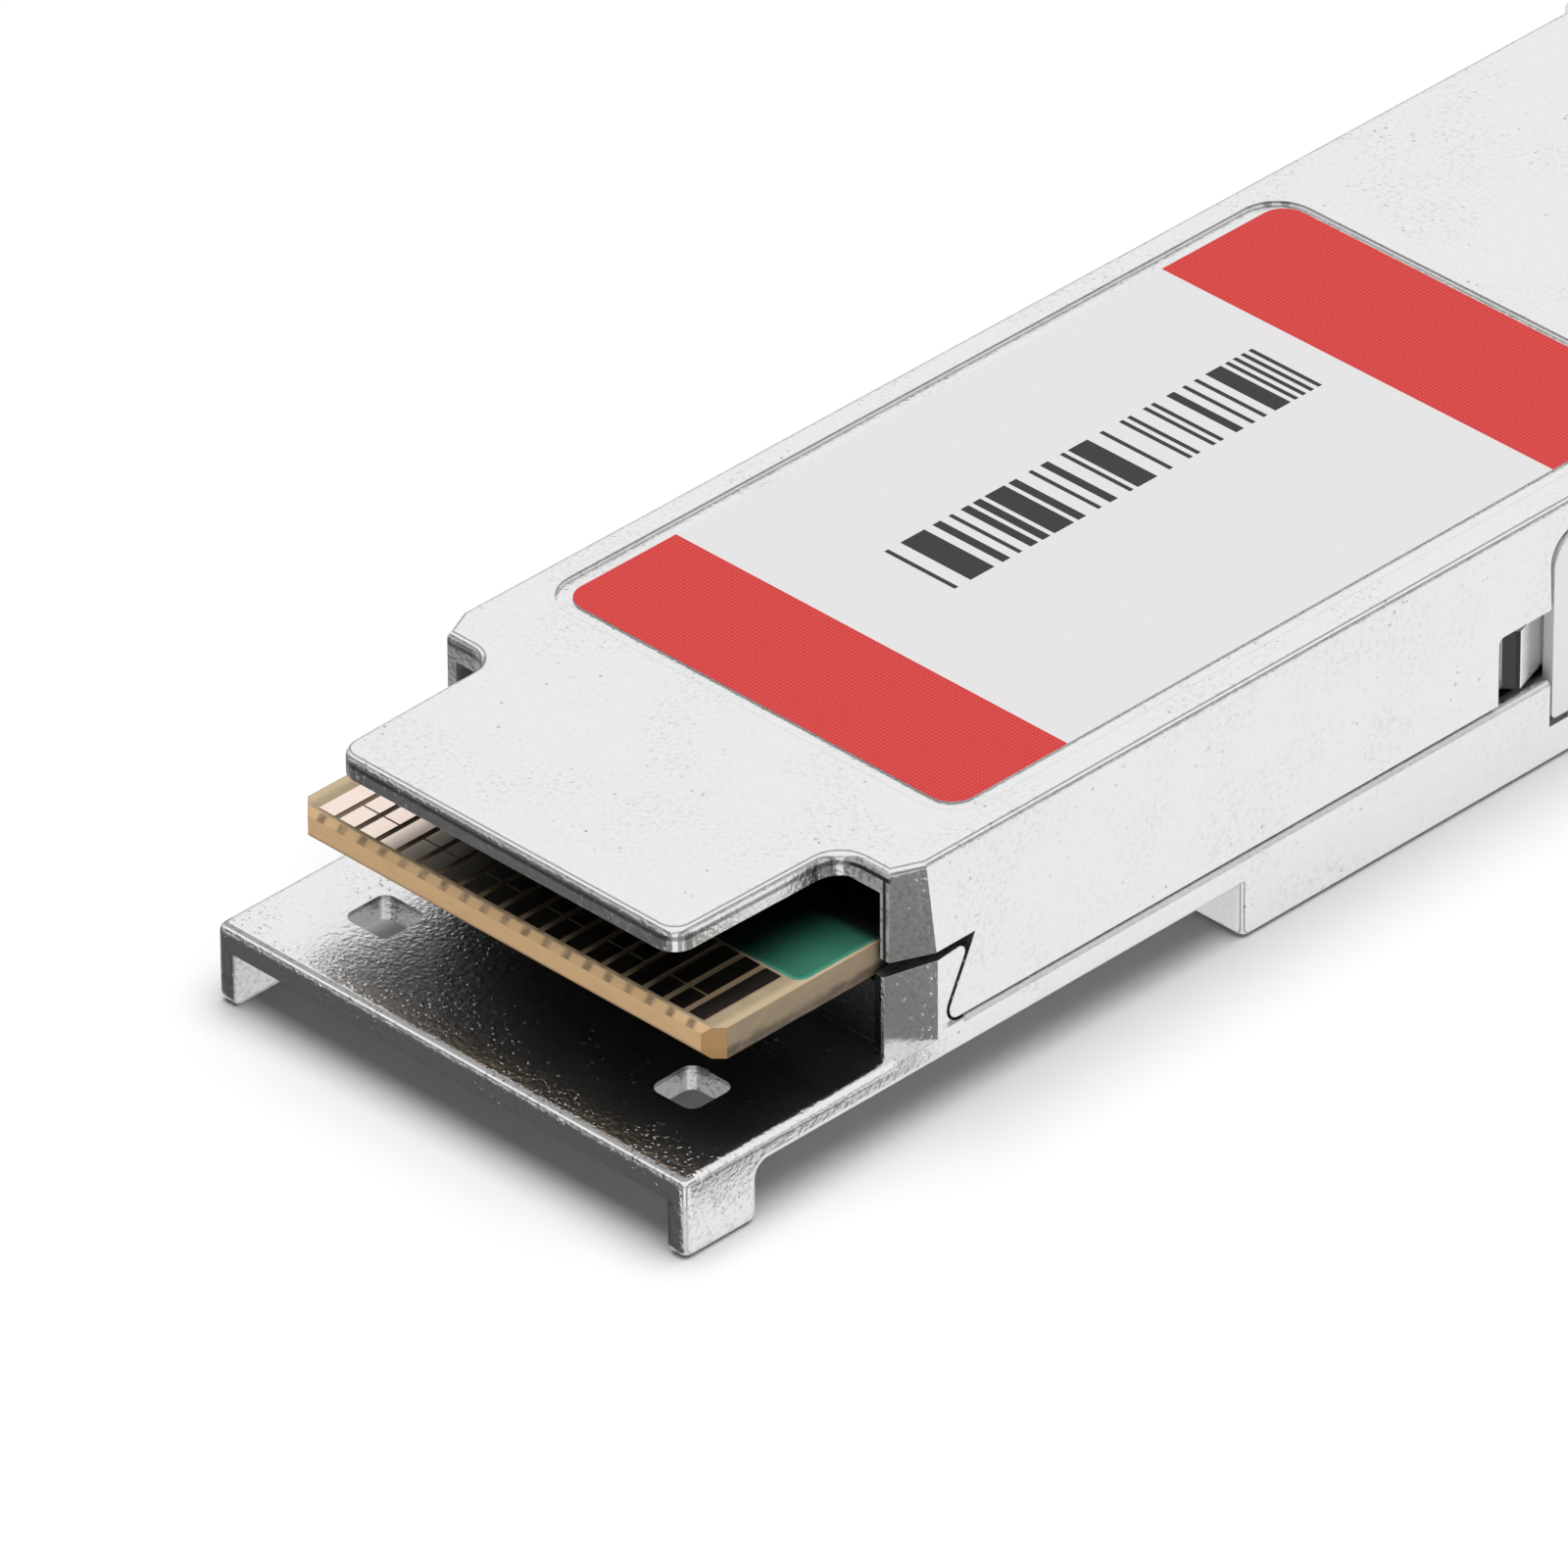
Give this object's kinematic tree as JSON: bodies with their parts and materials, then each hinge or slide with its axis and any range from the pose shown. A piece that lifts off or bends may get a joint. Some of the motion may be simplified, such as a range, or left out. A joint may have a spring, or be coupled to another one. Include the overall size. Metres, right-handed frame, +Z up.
{
  "type": "pluggable optical transceiver",
  "caption": "Flat die-cast transceiver module with a card edge at one end, a duplex fibre port at the other, and a sliding release latch worked by a pull tab.",
  "frame": {"origin": "middle of the module's length and width, on the surface that it lies on", "axes": "+Y from the card edge towards the optical ports and the pull tab, +Z up out of the labelled face, X across"},
  "size_m": [0.0194, 0.118, 0.0104],
  "materials": {
    "plated_casting": "satin nickel plate on a zinc casting, finely pitted",
    "label": "matt film with two red bands",
    "board": "tan laminate with green mask",
    "gold": "gold plate",
    "chip": "moulded epoxy",
    "gap_filler": "soft",
    "inductor": "pressed powder",
    "capacitor": "fired",
    "port_plastic": "moulded",
    "steel": "turned",
    "sheet_steel": "bright sheet",
    "ceramic": "ground",
    "flex": "film",
    "tab_plastic": "fine grain"
  },
  "bodies": {
    "housing": {"bottom_shell": "plated_casting", "top_shell": "plated_casting", "label": "label", "main_board": "board", "edge_contacts_top": "gold", "edge_contacts_bottom": "gold", "signal_processor": "chip", "microcontroller": "chip", "laser_driver": "chip", "receiver_amplifier": "chip", "thermal_pad": "gap_filler", "power_inductors": "inductor", "capacitors": "capacitor", "port_receptacle": "port_plastic", "optical_assembly_left": "steel", "optical_assembly_right": "steel", "alignment_sleeve_left": "ceramic", "alignment_sleeve_right": "ceramic", "fibre_stub_left": "ceramic", "fibre_stub_right": "ceramic", "flex_circuit_left": "flex", "flex_circuit_right": "flex", "return_spring_left": "steel", "return_spring_right": "steel", "optics_clamp": "steel", "case_screws": "steel", "shield_collar": "sheet_steel"},
    "slide": {"release_slide": "sheet_steel", "pull_tab": "tab_plastic"}
  },
  "joints": [
    {"name": "release_travel", "type": "slide", "parent": "housing", "child": "slide", "axis": [0, 1, 0], "range_m": [0, 0.0025], "stiffness_N_per_m": 1600, "deforming": ["return_spring_left", "return_spring_right"]}
  ]
}
